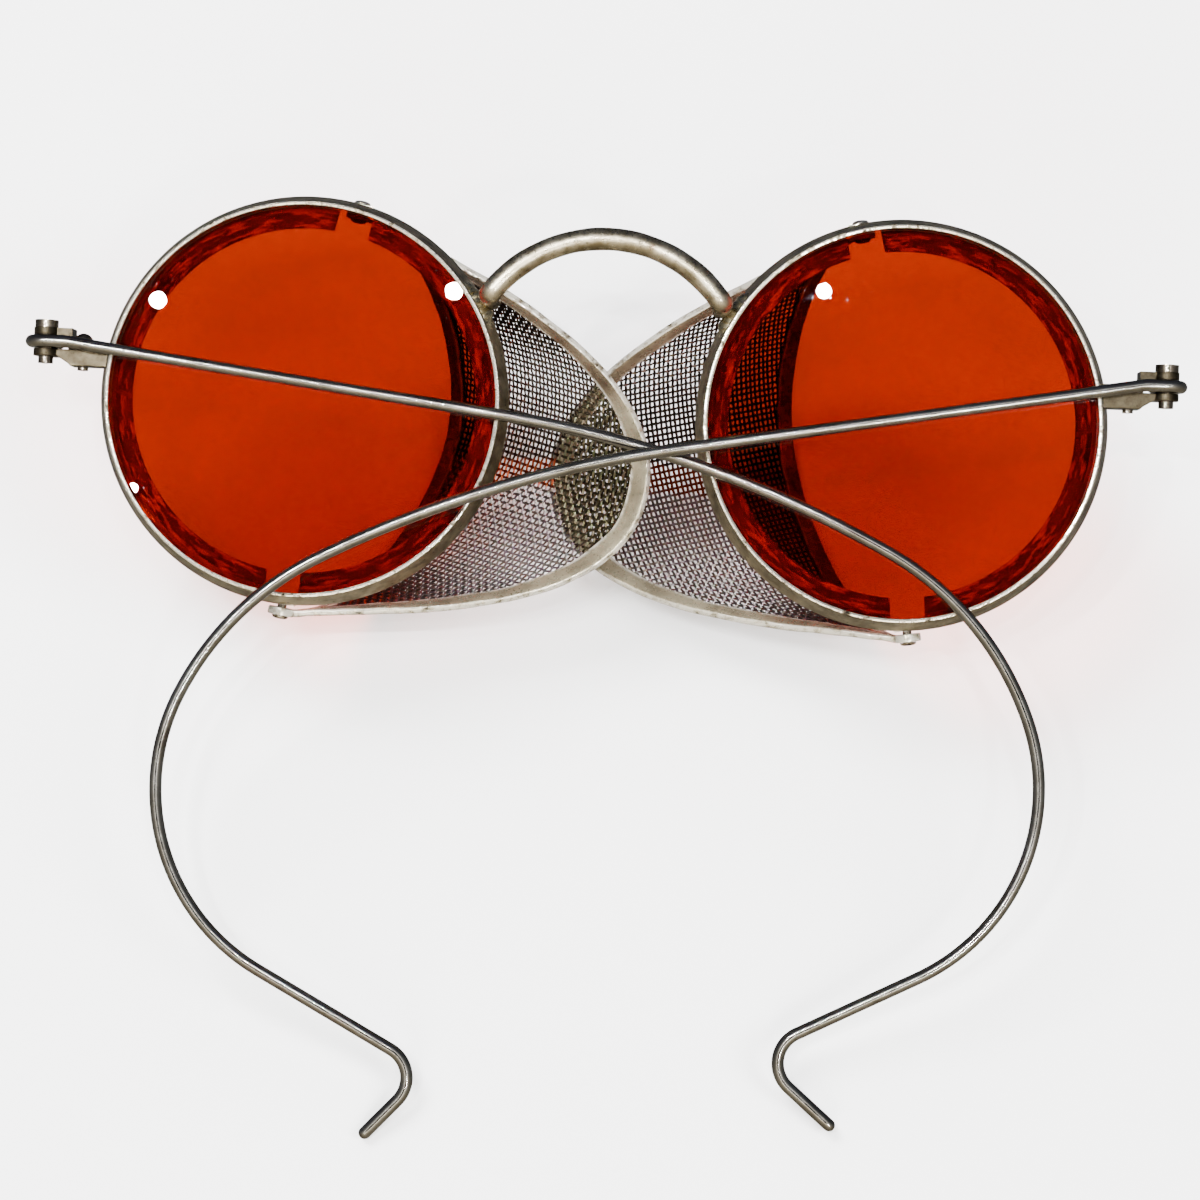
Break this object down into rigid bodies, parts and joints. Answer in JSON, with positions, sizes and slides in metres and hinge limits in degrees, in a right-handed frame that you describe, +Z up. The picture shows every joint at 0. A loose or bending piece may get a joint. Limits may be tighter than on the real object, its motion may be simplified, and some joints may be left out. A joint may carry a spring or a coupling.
{
  "type": "mesh side shield eyeglasses",
  "caption": "Round orange-lens safety spectacles with hooked wire temples and folding wire-gauze side shields, shown folded.",
  "frame": {"origin": "middle of the bounding box on the table that the folded spectacles lie on", "axes": "+X to the wearer's left across the lenses, seen from the front to the right; +Y up to the bridge along the table; +Z up from the table, roughly where the lens fronts face"},
  "size_m": [0.1398, 0.11, 0.0369],
  "materials": {
    "nickel_metal": "worn nickel silver, pitted and dull",
    "lens_glass": "polished orange-tinted flat glass",
    "temple_steel": "plated steel wire with worn shine",
    "gauze_wire": "dark woven steel wire",
    "dark_screws": "dark bronzed steel"
  },
  "bodies": {
    "frame": {"left_eyewire": "nickel_metal", "right_eyewire": "nickel_metal", "left_lens": "lens_glass", "right_lens": "lens_glass", "bridge": "nickel_metal", "left_block_upper": "nickel_metal", "right_block_upper": "nickel_metal", "left_block_lower": "nickel_metal", "right_block_lower": "nickel_metal", "left_closing_screw": "dark_screws", "right_closing_screw": "dark_screws", "left_hinge_screw": "dark_screws", "right_hinge_screw": "dark_screws", "left_pivot_rivets": "dark_screws", "right_pivot_rivets": "dark_screws"},
    "left_temple_wire": {"left_temple": "temple_steel"},
    "right_temple_wire": {"right_temple": "temple_steel"},
    "left_shield": {"left_outer_binding": "nickel_metal", "left_inner_binding": "nickel_metal", "left_gauze": "gauze_wire"},
    "right_shield": {"right_outer_binding": "nickel_metal", "right_inner_binding": "nickel_metal", "right_gauze": "gauze_wire"}
  },
  "joints": [
    {"name": "left_temple_hinge", "type": "hinge", "parent": "frame", "child": "left_temple_wire", "pos_m": [-0.06744, 0.03574, 0.02509], "axis": [0, -0.9461, -0.3239], "range_deg": [0, 270]},
    {"name": "right_temple_hinge", "type": "hinge", "parent": "frame", "child": "right_temple_wire", "pos_m": [0.06745, 0.03396, 0.0303], "axis": [0, 0.9461, 0.3239], "range_deg": [0, 268.35]},
    {"name": "right_shield_swing", "type": "hinge", "parent": "frame", "child": "right_shield", "pos_m": [0.03437, 0.03004, 0.0232], "axis": [0.1546, -0.9367, -0.314], "range_deg": [0, 110.4]},
    {"name": "left_shield_swing", "type": "hinge", "parent": "frame", "child": "left_shield", "pos_m": [-0.03402, 0.03095, 0.02055], "axis": [0.1546, 0.9326, 0.326], "range_deg": [0, 122.41]}
  ],
  "couplings": [
    {"joint": "left_shield_swing", "follows": "right_shield_swing", "ratio": 1.1087}
  ]
}
